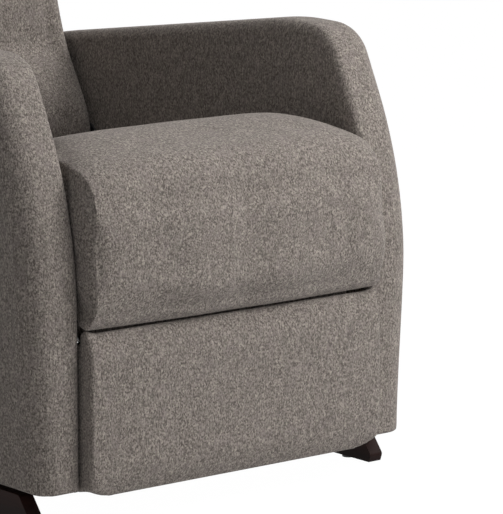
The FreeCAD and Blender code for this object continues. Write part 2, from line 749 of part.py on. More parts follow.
def link(label, side, layer, start, end, holes):
    edges = stadium(start, end, link_radius)
    for centre in holes:
        edges.append(ring(centre, shaft_hole if centre is drive_pivot else pin_hole))
    low = slab_start(side, layer, size("link_thickness"))
    return node(label, plate(label, low, "link_thickness", edges))


def pin(name, side, centre):
    low = slab_start(side, cross_layer - 1, pin_length)
    return rod(name, (low, centre.x, centre.y), "pin_radius", pin_run)


def footrest_bracket(side_name, side):
    # A welded gusset on the last link, with a flange screwed to the back of the footrest's board.
    along = (upper_pivot - bracket_foot).normalize()
    across = Vector(along.y, -along.x, 0)
    board_back = size("footrest_pad") + size("footrest_board")
    face = board_back + size("bracket_thickness")
    flange_low = size("footrest_bottom") + size("board_inset")
    flange_height = "footrest_height - 80"

    def beside(point, sideways, lengthwise):
        spot = point + across * link_radius * sideways + along * link_radius * lengthwise
        return (spot.x + size("front_plane"), spot.y, link_radius - 0.1)

    corners = [
        (face, bracket_foot.y - link_radius, 2),
        (face, flange_low + size("footrest_height") - 80, 10),
        beside(upper_pivot, -1, 1),
        beside(upper_pivot, 1, 1),
        beside(bracket_foot, 1, -1),
    ]
    edges = rounded(corners)
    edges.append(ring(upper_pivot, pin_hole))
    edges.append(ring(second_cross, pin_hole))
    label = "footrest_bracket_" + side_name
    low = slab_start(side, drive_layer, size("link_thickness"))
    gusset = plate(label + "_gusset", low, "link_thickness", edges)
    flange_low_x = slab_start(side, drive_layer + size("link_thickness") - size("bracket_flange"),
                              size("bracket_flange"))
    corner = (flange_low_x, depth(board_back), flange_low)
    flange = box(label + "_flange", corner, "bracket_flange", "bracket_thickness", flange_height)
    node(label, fuse(label, [gusset, flange]))


for side_name, side in SIDES:
    link("drive_link_" + side_name, side, drive_layer, drive_pivot, lower_pivot,
         (drive_pivot, first_cross, lower_pivot))
    link("cross_link_" + side_name, side, cross_layer, slot_low, upper_pivot,
         (slot_low, first_cross, upper_pivot))
    link("short_link_" + side_name, side, cross_layer, lower_pivot, second_cross, (lower_pivot, second_cross))
    footrest_bracket(side_name, side)
    drive_pins.append(pin("first_cross_pin_" + side_name, side, first_cross))
    drive_pins.append(pin("lower_pivot_pin_" + side_name, side, lower_pivot))
    cross_pins.append(pin("upper_pivot_pin_" + side_name, side, upper_pivot))
    slot_pin_start = slab_start(side, cross_layer, slot_pin_length)
    cross_pins.append(rod("slot_pin_" + side_name, (slot_pin_start, slot_low.x, slot_low.y), "pin_radius",
                          slot_pin_run))
    bracket_pins.append(pin("second_cross_pin_" + side_name, side, second_cross))
node("drive_link_pins", group("drive_link_pins", drive_pins))
node("cross_link_pins", group("cross_link_pins", cross_pins))
node("footrest_pins", group("footrest_pins", bracket_pins))

# Drive shaft and release handle: the shaft turns with the drive links and reaches out through one arm.
handle_stand_off = 2
shaft_start = -half_width - handle_stand_off
shaft_run = "overall_width / 2 + 2 + overall_width / 2 - arm_thickness - clearance"
node("drive_shaft", rod("drive_shaft", (shaft_start, drive_pivot.x, drive_pivot.y), "shaft_radius", shaft_run))

lean = math.radians(size("handle_lean"))
handle_way = Vector(math.sin(lean), math.cos(lean), 0)
handle_tip = drive_pivot + handle_way * size("handle_length")
grip_start = handle_tip - handle_way * size("grip_length")
hub_radius = 17
stem_radius = 8
grip_radius = 13
tang_length = 40


def release_handle():
    outer = -half_width - handle_stand_off
    low = outer - size("handle_thickness")
    hub = rod("handle_hub", (low, drive_pivot.x, drive_pivot.y), str(hub_radius), "handle_thickness")
    tang_end = grip_start + handle_way * tang_length
    stem = plate("handle_stem", low, "handle_thickness", stadium(drive_pivot, tang_end, stem_radius))
    node("release_handle", fuse("release_handle", [hub, stem]))
    grip_low = outer - size("grip_thickness") + 1
    first = grip_start + handle_way * grip_radius
    last = handle_tip - handle_way * grip_radius
    grip = plate("handle_grip_form", grip_low, "grip_thickness", stadium(first, last, grip_radius))
    bore = plate("handle_grip_socket", low, "handle_thickness", stadium(drive_pivot, tang_end, stem_radius))
    node("handle_grip", cut("handle_grip", grip, [bore]))


release_handle()


# Footrest: a plywood board and a crowned pad in front of it with rounded lower corners.
def footrest_section(across):
    share = abs(across) / size("footrest_half_width")
    bottom = size("footrest_bottom")
    top = bottom + size("footrest_height")
    front = -size("footrest_crown") + size("footrest_end_round") * share ** 4
    back = size("footrest_pad")

    def at(rear, up):
        return Vector(across, depth(rear), up)

    foot, brow = at(size("footrest_edge"), bottom), at(size("footrest_edge"), top)
    chin, crest = at(front, bottom + size("footrest_roll")), at(front, top - size("footrest_roll"))
    return wire_through([
        at(back, bottom + 6),
        foot,
        (arc_middle(chin, Vector(0, 0, -1), foot), chin),
        crest,
        (arc_middle(crest, Vector(0, 0, 1), brow), brow),
        at(back, top - 10),
    ])


board_corner = (
    -inside + size("board_inset"),
    depth(size("footrest_pad")),
    size("footrest_bottom") + size("board_inset"),
)
board_span = "overall_width - 2 * arm_thickness - 2 * board_inset"
board_height = "footrest_height - 2 * board_inset - board_top_gap"


def footrest_pad():
    # The front view has wide, shallow lower corners; the cover turns back round the board's side edges.
    half = size("footrest_half_width")
    stations = [share * half for share in (-1.01, -0.75, 0, 0.75, 1.01)]
    form = solid_feature("footrest_form", Part.makeLoft([footrest_section(x) for x in stations], True, False))
    bottom, top = size("footrest_bottom"), size("footrest_bottom") + size("footrest_height")
    low, high = size("footrest_corner"), size("footrest_top_corner")

    def at(across, up):
        return Vector(across, depth(-30), up)

    foot, flank = at(half - low, bottom), at(half, bottom + size("footrest_corner_rise"))
    brow, crown = at(half, top - high), at(half - high, top)
    outline = both_halves([
        foot,
        (arc_middle(foot, Vector(1, 0, 0), flank), flank),
        brow,
        (arc_middle(brow, Vector(0, 0, 1), crown), crown),
    ])
    limit = solid_feature("footrest_limit", Part.Face(outline).extrude(Vector(0, 80, 0)))
    pad = doc.addObject("Part::Common", "footrest_front")
    pad.Base = form
    pad.Tool = limit
    pieces = [pad]
    for side_name, side in SIDES:
        low_x = slab_start(side, inside - size("board_inset") + size("clearance"), size("cover_return"))
        corner = (low_x, board_corner[1] - 1, board_corner[2])
        wrap = box("cover_return_" + side_name, corner, "cover_return", "footrest_board + 1 - clearance",
                   board_height)
        pieces.append(wrap)
    node("footrest_pad", fuse("footrest_pad", pieces))


footrest_pad()
node("footrest_board", box("footrest_board", board_corner, board_span, "footrest_board", board_height))

# Backrest, drawn in its own frame: x across, y back from the hinge, z up along the back.
back_frame = Placement(Vector(0, hinge.x, hinge.y), Rotation(Vector(1, 0, 0), -size("back_lean")))
frame_front = 18
stile_outer = size("back_half_width") - size("stile_set_in")
stile_inner = stile_outer - size("stile_width")
stile_foot = 25
stile_top = size("back_length") - 22


def lean_back(shape_object):
    shape_object.Placement = back_frame.multiply(shape_object.Placement)
    return shape_object


for side_name, side in SIDES:
    label = "back_stile_" + side_name
    low = slab_start(side, stile_inner, size("stile_width"))
    stile = box(label, (low, frame_front, -stile_foot), "stile_width", "back_frame",
                "back_length - 22 + %d" % stile_foot)
    node(label, lean_back(stile))

back_span = "2 * (back_half_width - stile_set_in - stile_width)"
BACK_RAILS = (
    ("back_lower_rail", 4),
    ("back_middle_rail", 290),
    ("back_top_rail", stile_top - size("back_rail_height")),
)
for label, foot in BACK_RAILS:
    rail = box(label, (-stile_inner, frame_front, foot), back_span, "back_frame", "back_rail_height")
    node(label, lean_back(rail))

back_straps = []
STRAPS_ON_BACK = 6
for index in range(STRAPS_ON_BACK):
    pitch = stile_top / STRAPS_ON_BACK
    foot = pitch * (index + 0.5) - size("webbing_width") / 2
    strap = box("back_strap_%d" % index, (-stile_outer, frame_front - size("webbing_thickness"), foot),
                "2 * (back_half_width - stile_set_in)", "webbing_thickness", "webbing_width")
    back_straps.append(lean_back(strap))
node("back_webbing", group("back_webbing", back_straps))


bracket_eye = 20


def back_bracket(side_name, side):
    # A steel ear on the stile's outer face, turning on the hinge pin.
    label = "back_bracket_" + side_name
    low = slab_start(side, stile_outer, size("back_bracket"))
    ear = rod(label + "_eye", (low, 0, 0), str(bracket_eye), "back_bracket")
    arm_plate = box(label + "_arm", (low, -4, -16), "back_bracket", "back_frame + %d" % (bracket_eye + 2),
                    "bracket_height")
    hole = rod(label + "_hole", (low, 0, 0), "hinge_pin_radius + running_clearance", "back_bracket")
    node(label, lean_back(cut(label, fuse(label + "_blank", [ear, arm_plate]), [hole])))


hinge_pins = []
pin_reach = inside - stile_outer + 3
for side_name, side in SIDES:
    back_bracket(side_name, side)
    low = slab_start(side, stile_outer - 3, pin_reach)
    shank = rod("hinge_shank_" + side_name, (low, hinge.x, hinge.y), "hinge_pin_radius",
                "overall_width / 2 - arm_thickness - back_half_width + stile_set_in + 3")
    head_low = slab_start(side, stile_outer - 3.5, 3)
    head = rod("hinge_head_" + side_name, (head_low, hinge.x, hinge.y), "1.6 * hinge_pin_radius", "3")
    hinge_pins.append(fuse("hinge_pin_" + side_name, [shank, head]))
node("back_hinge_pins", group("back_hinge_pins", hinge_pins))


# Back cushion: three sewn bands, each crowned, with softened sides, top and bottom.
def back_section(up, swell, inset):
    # The cushion's plan at a height: flat behind, crowned in front, with rounded front corners.
    wide = size("back_half_width") - inset
    rear = frame_front - size("webbing_thickness") - size("clearance")
    front = -size("back_front") - swell
    shoulder = -size("back_front") + 30 + inset
    corner = wide - 34

    def at(across, back):
        return Vector(across, back, up)

    return wire_through([
        at(wide, rear),
        at(wide, shoulder),
        (at(wide - 8, shoulder - 20), at(corner, front + 12)),
        (at(0, front), at(-corner, front + 12)),
        (at(-wide + 8, shoulder - 20), at(-wide, shoulder)),
        at(-wide, rear),
    ])


seam = -size("seam_depth")
crown = size("back_crown")
lumbar, head = size("lumbar_seam"), size("head_seam")
foot, top = -size("back_below"), size("back_length")
STATIONS = [
    (foot, -26, 10), (foot + 34, crown - 8, 2), ((foot + lumbar) / 2 + 10, crown, 0), (lumbar, seam, 3),
    ((lumbar + head) / 2, crown - 4, 0), (head, seam, 3), ((head + top) / 2 + 4, crown + 4, 0),
    (top - 40, crown - 6, 4), (top, -24, 16),
]
back_sections = [back_section(*station) for station in STATIONS]
back_form = solid_feature("back_form", Part.makeLoft(back_sections, True, False))
bracket_room = []
for side_name, side in SIDES:
    low = slab_start(side, stile_outer - 6, size("stile_width"))
    bracket_room.append(box("bracket_room_" + side_name, (low, -bracket_eye - 4, foot - 4), "stile_width",
                            "2 * back_frame", "back_below + bracket_height - 6"))
node("back_cushion", lean_back(cut("back_cushion", back_form, bracket_room)))


# Rear pad of the back: a padded outer cover that wraps the frame's sides and top, rounded at its rear rim.
def back_rear_pad():
    wide = size("back_half_width")
    front = frame_front - size("webbing_thickness")
    rear = frame_front + size("back_frame") + size("back_pad")
    blank = box("rear_pad_blank", (-wide, front, foot), "2 * back_half_width",
                "back_frame + back_pad + webbing_thickness", "back_length + back_below")
    doc.recompute()
    chosen = []
    for index, edge in enumerate(blank.Shape.Edges, 1):
        if edge.BoundBox.YMin > rear - 1e-4:
            chosen.append((index, size("back_pad") - 7, size("back_pad") - 7))
    form = doc.addObject("Part::Fillet", "rear_pad_form")
    form.Base = blank
    form.Edges = chosen
    play = size("clearance")
    frame_room = box("frame_room", (-stile_outer - play, front - 1, foot - 1),
                     "2 * (back_half_width - stile_set_in + clearance)",
                     "back_frame + webbing_thickness + 1 + clearance",
                     "back_length - 22 + clearance + back_below + 1")
    rooms = [frame_room]
    for side_name, side in SIDES:
        low = slab_start(side, stile_outer - 1, 20)
        rooms.append(box("rear_bracket_room_" + side_name, (low, front - 1, foot - 1), "20",
                         "back_frame + webbing_thickness + 1 + clearance", "back_below + bracket_height - 9"))
    node("back_rear_pad", lean_back(cut("back_rear_pad", form, rooms)))


back_rear_pad()

# Test every object, then write each sub-part to its own file.
doc.recompute()
for item in doc.Objects:
    if "Invalid" in item.State or "Error" in item.State:
        raise RuntimeError("%s did not build: %s" % (item.Name, item.State))
for part in parts:
    if part.Shape.isNull() or not part.Shape.isValid():
        raise RuntimeError("%s has no valid shape" % part.Label)
os.makedirs("parts", exist_ok=True)
for part in parts:
    part.Shape.exportStep("parts/%s.step" % part.Label)
print("wrote %d sub-parts" % len(parts))
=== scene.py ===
import math

import bmesh
import bpy
import numpy as np
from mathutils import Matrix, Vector


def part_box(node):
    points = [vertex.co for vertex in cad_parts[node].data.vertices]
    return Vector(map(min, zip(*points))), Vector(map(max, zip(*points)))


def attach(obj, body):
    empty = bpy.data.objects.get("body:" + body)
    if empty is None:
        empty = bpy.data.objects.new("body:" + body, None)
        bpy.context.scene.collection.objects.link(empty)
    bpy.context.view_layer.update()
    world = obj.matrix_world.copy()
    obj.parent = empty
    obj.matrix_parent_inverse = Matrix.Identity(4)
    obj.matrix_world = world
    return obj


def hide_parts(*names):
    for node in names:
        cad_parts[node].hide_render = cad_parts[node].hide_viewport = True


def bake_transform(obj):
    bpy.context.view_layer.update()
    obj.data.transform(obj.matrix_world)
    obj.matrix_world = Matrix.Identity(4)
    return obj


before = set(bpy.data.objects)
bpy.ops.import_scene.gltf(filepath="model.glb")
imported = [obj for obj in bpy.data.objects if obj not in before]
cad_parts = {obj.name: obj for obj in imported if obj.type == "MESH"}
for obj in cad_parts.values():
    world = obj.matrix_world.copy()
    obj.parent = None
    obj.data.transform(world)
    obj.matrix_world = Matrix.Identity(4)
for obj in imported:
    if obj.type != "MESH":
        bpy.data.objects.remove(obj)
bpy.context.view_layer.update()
scene = bpy.context.scene

# Floor rails: solid beech rails under the arms, stained dark brown and lacquered.
# They lie on nylon glides and are screwed to two cross rails.


def new_material(name):
    finish = bpy.data.materials.new(name)
    finish.use_nodes = True
    shader = finish.node_tree.nodes["Principled BSDF"]
    return finish, finish.node_tree, shader


def feed(tree, socket, value):
    # Link a socket to another node's output, or set it to a plain value.
    if isinstance(value, bpy.types.NodeSocket):
        tree.links.new(value, socket)
    else:
        socket.default_value = value


def add_node(tree, kind, settings=None, **inputs):
    node = tree.nodes.new(kind)
    for key, value in (settings or {}).items():
        setattr(node, key, value)
    for key, value in inputs.items():
        feed(tree, node.inputs[key.replace("_", " ")], value)
    return node


def new_group(name, inputs, outputs):
    # A shader node group with named sockets; returns the tree and its two end nodes.
    tree = bpy.data.node_groups.new(name, "ShaderNodeTree")
    for label, kind, value in inputs:
        socket = tree.interface.new_socket(label, in_out="INPUT", socket_type=kind)
        socket.default_value = value
    for label, kind in outputs:
        tree.interface.new_socket(label, in_out="OUTPUT", socket_type=kind)
    return tree, tree.nodes.new("NodeGroupInput"), tree.nodes.new("NodeGroupOutput")


def place_group(tree, group, **inputs):
    return add_node(tree, "ShaderNodeGroup", {"node_tree": group}, **inputs)


def mixed(tree, factor, first, second, blend="MIX"):
    node = tree.nodes.new("ShaderNodeMix")
    node.data_type = "RGBA"
    node.blend_type = blend
    for place, value in ((0, factor), (6, first), (7, second)):
        feed(tree, node.inputs[place], value)
    return node.outputs[2]


def ramp(tree, source, low, high):
    # Spread the part of a value between two limits over 0 to 1.
    node = add_node(tree, "ShaderNodeMapRange", {"interpolation_type": "SMOOTHSTEP"}, Value=source)
    node.inputs["From Min"].default_value = low
    node.inputs["From Max"].default_value = high
    return node.outputs["Result"]


def maths(tree, operation, first, second):
    node = tree.nodes.new("ShaderNodeMath")
    node.operation = operation
    feed(tree, node.inputs[0], first)
    feed(tree, node.inputs[1], second)
    return node.outputs[0]


def stretched(tree, place, factors):
    # The place in a pattern, scaled along each axis.
    node = tree.nodes.new("ShaderNodeVectorMath")
    node.operation = "MULTIPLY"
    feed(tree, node.inputs[0], place)
    feed(tree, node.inputs[1], factors)
    return node.outputs[0]


def wood_grain_group():
    # Long fibres and pores along one axis: the stretch input shrinks the pattern across the grain.
    tree, given, result = new_group(
        "wood_grain",
        [("Light", "NodeSocketColor", (0.5, 0.36, 0.22, 1)),
         ("Dark", "NodeSocketColor", (0.3, 0.2, 0.11, 1)),
         ("Stretch", "NodeSocketVector", (1, 1, 1))],
        [("Colour", "NodeSocketColor"), ("Height", "NodeSocketFloat")])
    place = add_node(tree, "ShaderNodeTexCoord").outputs["Object"]
    grain = stretched(tree, place, given.outputs["Stretch"])
    rings = add_node(tree, "ShaderNodeTexNoise", Vector=grain, Scale=22.0, Detail=3.0, Distortion=0.6)
    fibres = add_node(tree, "ShaderNodeTexNoise", Vector=grain, Scale=160.0, Detail=2.0)
    pores = ramp(tree, fibres.outputs["Fac"], 0.58, 0.7)
    bands = ramp(tree, rings.outputs["Fac"], 0.36, 0.66)
    colour = mixed(tree, bands, given.outputs["Light"], given.outputs["Dark"])
    colour = mixed(tree, maths(tree, "MULTIPLY", pores, 0.55), colour, given.outputs["Dark"])
    tree.links.new(colour, result.inputs["Colour"])
    tree.links.new(maths(tree, "SUBTRACT", bands, pores), result.inputs["Height"])
    return tree


wood_grain = wood_grain_group()


def wood(name, light, dark, stretch, roughness):
    finish, tree, shader = new_material(name)
    grain = place_group(tree, wood_grain, Light=light, Dark=dark, Stretch=stretch)
    height = grain.outputs["Height"]
    bump = add_node(tree, "ShaderNodeBump", Height=height, Strength=0.12, Distance=0.0006)
    tree.links.new(grain.outputs["Colour"], shader.inputs["Base Color"])
    tree.links.new(bump.outputs["Normal"], shader.inputs["Normal"])
    shader.inputs["Roughness"].default_value = roughness
    shader.inputs["Specular IOR Level"].default_value = 0.08
    return finish


def finish_nodes(finish, *names):
    for name in names:
        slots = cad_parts[name].data.materials
        slots.clear()
        slots.append(finish)


def pair(name):
    return name + "_left", name + "_right"


DARK_STAIN = ((0.024, 0.010, 0.008, 1), (0.009, 0.0035, 0.003, 1))
stained = wood("dark_stained_beech", *DARK_STAIN, stretch=(1.0, 0.08, 1.0), roughness=0.55)
finish_nodes(stained, *pair("base_rail"))

# Cross rails, tracks and cams: planed beech left bare inside the chair, with the grain along each rail.
# The tracks are glued on the cross rails, and the cams are bolted to the steel side plates.
BEECH = ((0.50, 0.35, 0.21, 1), (0.33, 0.21, 0.115, 1))
beech_across = wood("beech_grain_across", *BEECH, stretch=(0.08, 1.0, 1.0), roughness=0.6)
beech_lengthwise = wood("beech_grain_lengthwise", *BEECH, stretch=(1.0, 0.08, 1.0), roughness=0.6)
beech_upright = wood("beech_grain_upright", *BEECH, stretch=(1.0, 1.0, 0.08), roughness=0.6)
finish_nodes(beech_across, "front_cross_rail", "rear_cross_rail")
finish_nodes(beech_lengthwise, *pair("rocker_track"), *pair("rocker_cam"))

# Glides, screws, spring cups and rocker springs: moulded nylon, zinc-plated screws, pressed steel cups and
# coils of oil-tempered wire that sit between the cups and hold the rocking body level.


def speckle_group():
    # Fine moulded or sprayed texture: a mottle for the colour and a grain for the surface.
    tree, given, result = new_group(
        "fine_speckle",
        [("Base", "NodeSocketColor", (0.03, 0.03, 0.03, 1)),
         ("Fleck", "NodeSocketColor", (0.06, 0.06, 0.06, 1)),
         ("Grain", "NodeSocketFloat", 900.0)],
        [("Colour", "NodeSocketColor"), ("Height", "NodeSocketFloat"), ("Roughness", "NodeSocketFloat")])
    place = add_node(tree, "ShaderNodeTexCoord").outputs["Object"]
    fine = add_node(tree, "ShaderNodeTexNoise", Vector=place, Scale=given.outputs["Grain"], Detail=2.0)
    broad = add_node(tree, "ShaderNodeTexNoise", Vector=place, Scale=30.0, Detail=3.0)
    patches = ramp(tree, broad.outputs["Fac"], 0.4, 0.7)
    colour = mixed(tree, patches, given.outputs["Base"], given.outputs["Fleck"])
    tree.links.new(colour, result.inputs["Colour"])
    tree.links.new(fine.outputs["Fac"], result.inputs["Height"])
    wear = maths(tree, "MULTIPLY_ADD", broad.outputs["Fac"], 0.25)
    wear.node.inputs[2].default_value = 0.3
    tree.links.new(wear, result.inputs["Roughness"])
    return tree


fine_speckle = speckle_group()


def speckled(name, base, fleck, grain, bump_depth, metallic):
    finish, tree, shader = new_material(name)
    surface = place_group(tree, fine_speckle, Base=base, Fleck=fleck, Grain=grain)
    height = surface.outputs["Height"]
    bump = add_node(tree, "ShaderNodeBump", Height=height, Strength=0.3, Distance=bump_depth)
    tree.links.new(surface.outputs["Colour"], shader.inputs["Base Color"])
    tree.links.new(surface.outputs["Roughness"], shader.inputs["Roughness"])
    tree.links.new(bump.outputs["Normal"], shader.inputs["Normal"])
    shader.inputs["Metallic"].default_value = metallic
    return finish


BLACK_NYLON = ((0.018, 0.018, 0.018, 1), (0.035, 0.034, 0.033, 1))
ZINC_PLATE = ((0.50, 0.50, 0.48, 1), (0.62, 0.61, 0.58, 1))
BLACK_PAINT = ((0.020, 0.020, 0.021, 1), (0.034, 0.033, 0.033, 1))
OILED_WIRE = ((0.10, 0.10, 0.105, 1), (0.20, 0.19, 0.18, 1))
BLACKENED = ((0.010, 0.010, 0.010, 1), (0.020, 0.019, 0.019, 1))
nylon = speckled("black_nylon", *BLACK_NYLON, grain=1400.0, bump_depth=0.0003, metallic=0.0)
zinc = speckled("zinc_plate", *ZINC_PLATE, grain=700.0, bump_depth=0.0001, metallic=1.0)
powder_coat = speckled("black_powder_coat", *BLACK_PAINT, grain=1100.0, bump_depth=0.0002, metallic=0.0)
spring_steel = speckled("spring_steel", *OILED_WIRE, grain=800.0, bump_depth=0.0001, metallic=1.0)
black_oxide = speckled("black_oxide_steel", *BLACKENED, grain=900.0, bump_depth=0.0001, metallic=0.0)
finish_nodes(nylon, "floor_glides")
finish_nodes(zinc, "base_screws")
finish_nodes(powder_coat, "lower_spring_cups", "upper_spring_cups")


def merged_copy(node, name):
    # A loose copy of a node's mesh with its doubled points joined, for a piece that bends or is padded.
    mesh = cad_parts[node].data.copy()
    mesh.name = name
    mesh.materials.clear()
    work = bmesh.new()
    work.from_mesh(mesh)
    bmesh.ops.remove_doubles(work, verts=work.verts, dist=0.00002)
    work.to_mesh(mesh)
    work.free()
    piece = bpy.data.objects.new(name, mesh)
    scene.collection.objects.link(piece)
    return piece


coils = merged_copy("rocker_springs", "rocker_coils")
coils.data.materials.append(spring_steel)
coils.data.shade_smooth()
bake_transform(coils)
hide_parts("rocker_springs")

# Steel frame: laser-cut side plates and square cross tubes, powder coated black, with blackened bolts through
# the plates into the arms. It carries the seat, the tongs and the hinge of the back.
finish_nodes(powder_coat, *pair("side_plate"), "front_cross_tube", "rear_cross_tube")
finish_nodes(black_oxide, "side_plate_bolts", "back_hinge_pins")

# Seat frame: four beech rails between the side plates, with woven elastic straps stapled over them both ways.
finish_nodes(beech_across, "seat_front_rail", "seat_rear_rail")
finish_nodes(beech_lengthwise, *pair("seat_side_rail"))


def strap_weave():
    # Black elastic webbing: a small woven check of dark and slightly paler thread, unevenly dyed.
    finish, tree, shader = new_material("woven_strap")
    place = add_node(tree, "ShaderNodeTexCoord").outputs["Object"]
    checks = add_node(tree, "ShaderNodeTexChecker", Vector=place, Scale=420.0)
    tone = add_node(tree, "ShaderNodeTexNoise", Vector=place, Scale=60.0, Detail=3.0)
    dark = mixed(tree, tone.outputs["Fac"], (0.020, 0.019, 0.018, 1), (0.055, 0.052, 0.048, 1))
    faint = maths(tree, "MULTIPLY", checks.outputs["Fac"], 0.35)
    colour = mixed(tree, faint, dark, (0.10, 0.095, 0.088, 1))
    bump = add_node(tree, "ShaderNodeBump", Height=checks.outputs["Fac"], Strength=0.4, Distance=0.0006)
    tree.links.new(colour, shader.inputs["Base Color"])
    tree.links.new(bump.outputs["Normal"], shader.inputs["Normal"])
    shader.inputs["Roughness"].default_value = 0.85
    return finish


woven_strap = strap_weave()
finish_nodes(woven_strap, "seat_webbing", "back_webbing")

# Arm cores: plywood inner panels, thin outer boards and beech spacer blocks, hidden inside the padded arms.
BIRCH = ((0.62, 0.47, 0.30, 1), (0.50, 0.36, 0.22, 1))
plywood = wood("birch_plywood", *BIRCH, stretch=(1.0, 0.15, 1.0), roughness=0.65)
finish_nodes(plywood, *pair("arm_inner_panel"), *pair("arm_outer_board"), "footrest_board")
finish_nodes(beech_lengthwise, *pair("arm_blocks"))

# Arm covers: foam-backed tweed pulled over the arm cores, sewn from two side panels and a strip that runs up
# the front and over the top, and stapled under the arm.


def tweed_group():
    # Heathered tweed: short slubs of light and dark yarn, fine threads, faint streaks, and patches of green
    # and mauve.
    tree, given, result = new_group(
        "tweed",
        [("Light", "NodeSocketColor", (0.328, 0.286, 0.257, 1)),
         ("Dark", "NodeSocketColor", (0.092, 0.077, 0.067, 1)),
         ("Yarn", "NodeSocketVector", (1, 1, 1))],
        [("Colour", "NodeSocketColor"), ("Height", "NodeSocketFloat")])
    place = add_node(tree, "ShaderNodeTexCoord").outputs["Object"]
    yarn = stretched(tree, place, given.outputs["Yarn"])
    slubs = add_node(tree, "ShaderNodeTexNoise", Vector=yarn, Scale=510.0, Detail=2.0, Roughness=0.6)
    knots = add_node(tree, "ShaderNodeTexVoronoi", Vector=place, Scale=440.0, Randomness=1.0)
    threads = add_node(tree, "ShaderNodeTexNoise", Vector=place, Scale=800.0, Detail=1.0)
    tone = ramp(tree, slubs.outputs["Fac"], 0.32, 0.68)
    colour = mixed(tree, tone, given.outputs["Dark"], given.outputs["Light"])
    spread = add_node(tree, "ShaderNodeSeparateColor", Color=knots.outputs["Color"])
    pale = ramp(tree, spread.outputs["Red"], 0.80, 0.96)
    deep = ramp(tree, spread.outputs["Green"], 0.86, 0.98)
    colour = mixed(tree, maths(tree, "MULTIPLY", pale, 0.55), colour, (0.43, 0.39, 0.33, 1))
    colour = mixed(tree, maths(tree, "MULTIPLY", deep, 0.5), colour, (0.055, 0.046, 0.040, 1))
    drawn = stretched(tree, yarn, (1.0, 1.0, 0.25))
    streaks = add_node(tree, "ShaderNodeTexNoise", Vector=drawn, Scale=320.0, Detail=2.0)
    faint = maths(tree, "MULTIPLY", ramp(tree, streaks.outputs["Fac"], 0.42, 0.66), 0.36)
    colour = mixed(tree, faint, colour, given.outputs["Dark"])
    mottle = add_node(tree, "ShaderNodeTexNoise", Vector=place, Scale=75.0, Detail=2.0)
    green = maths(tree, "MULTIPLY", ramp(tree, mottle.outputs["Fac"], 0.45, 0.7), 0.16)
    colour = mixed(tree, green, colour, (0.185, 0.178, 0.150, 1))
    bloom = add_node(tree, "ShaderNodeTexNoise", Vector=place, Scale=48.0, Detail=1.0)
    mauve = maths(tree, "MULTIPLY", ramp(tree, bloom.outputs["Fac"], 0.50, 0.72), 0.20)
    colour = mixed(tree, mauve, colour, (0.212, 0.174, 0.172, 1))
    tree.links.new(colour, result.inputs["Colour"])
    relief = maths(tree, "ADD", tone, threads.outputs["Fac"])
    relief = maths(tree, "ADD", relief, pale)
    tree.links.new(relief, result.inputs["Height"])
    return tree


tweed = tweed_group()


def upholstery(name, yarn):
    finish, tree, shader = new_material(name)
    weave = place_group(tree, tweed, Yarn=yarn)
    height = weave.outputs["Height"]
    bump = add_node(tree, "ShaderNodeBump", Height=height, Strength=0.33, Distance=0.0006)
    tree.links.new(weave.outputs["Colour"], shader.inputs["Base Color"])
    tree.links.new(bump.outputs["Normal"], shader.inputs["Normal"])
    shader.inputs["Roughness"].default_value = 0.95
    shader.inputs["Specular IOR Level"].default_value = 0.12
    shader.inputs["Sheen Weight"].default_value = 0.10
    shader.inputs["Sheen Roughness"].default_value = 0.6
    return finish


tweed_upright = upholstery("taupe_tweed_upright", (1.0, 1.0, 0.6))


def take_modifiers(piece):
    # Turn a piece and its modifiers into one plain smooth mesh.
    graph = bpy.context.evaluated_depsgraph_get()
    mesh = bpy.data.meshes.new_from_object(piece.evaluated_get(graph))
    piece.modifiers.clear()
    piece.data = mesh
    mesh.shade_smooth()
    return piece


def soften(piece, rounds):
    # Round a cover's edges off a little more with each round.
    smooth = piece.modifiers.new("soften", "SMOOTH")
    smooth.factor = 0.5
    smooth.iterations = rounds
    return take_modifiers(piece)


def even_cloth(piece, voxel, softening):
    # Evenly sized faces over the form, with its steps and hard edges softened.
    remesh = piece.modifiers.new("even", "REMESH")
    remesh.mode = "VOXEL"
    remesh.voxel_size = voxel
    return soften(take_modifiers(piece), softening)


def rows_of(values, name):
    # The vectors that a mesh keeps for its points, one row for each.
    flat = np.empty(len(values) * 3)
    values.foreach_get(name, flat)
    return flat.reshape(-1, 3)


def points_of(piece):
    return rows_of(piece.data.vertices, "co")


def normals_of(piece):
    return rows_of(piece.data.vertex_normals, "vector")


def set_points(piece, points):
    piece.data.vertices.foreach_set("co", points.ravel())
    piece.data.update()


def dress(piece, finish, body, node):
    # Give a soft piece its cloth and its body, and hide the node that it stands for.
    piece.data.materials.clear()
    piece.data.materials.append(finish)
    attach(piece, body)
    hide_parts(node)


def eased(share):
    share = np.clip(share, 0.0, 1.0)
    return share * share * (3.0 - 2.0 * share)


def draw_in_foot(cover, node):
    # Pull the foot of the arm's front in on its outer side and round the lower outer edge, which rises to the
    # rear.
    taper, taper_height, taper_run = 0.012, 0.27, 0.20
    edge_round, sole_rise = 0.012, 0.026
    low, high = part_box(node)
    outward = 1.0 if low.x > 0 else -1.0
    inner, outer = sorted((abs(low.x), abs(high.x)))
    points = points_of(cover)
    reach = points[:, 0] * outward
    back = points[:, 1] - low.y
    foot = taper * eased(1.0 - (points[:, 2] - low.z) / taper_height) * eased(1.0 - back / taper_run)
    reach = reach - foot * (reach - inner) / (outer - inner)
    corner_x = outer - foot - edge_round
    corner_z = low.z + sole_rise * back / (high.y - low.y) + edge_round
    past = reach - corner_x
    under = corner_z - points[:, 2]
    length = np.hypot(past, under)
    to_round = np.minimum(1.0, edge_round / np.maximum(length, 1e-9))
    keep = np.where((past > 0) & (under > 0), to_round, 1.0)
    points[:, 0] = (corner_x + past * keep) * outward
    points[:, 2] = corner_z - under * keep
    set_points(cover, points)


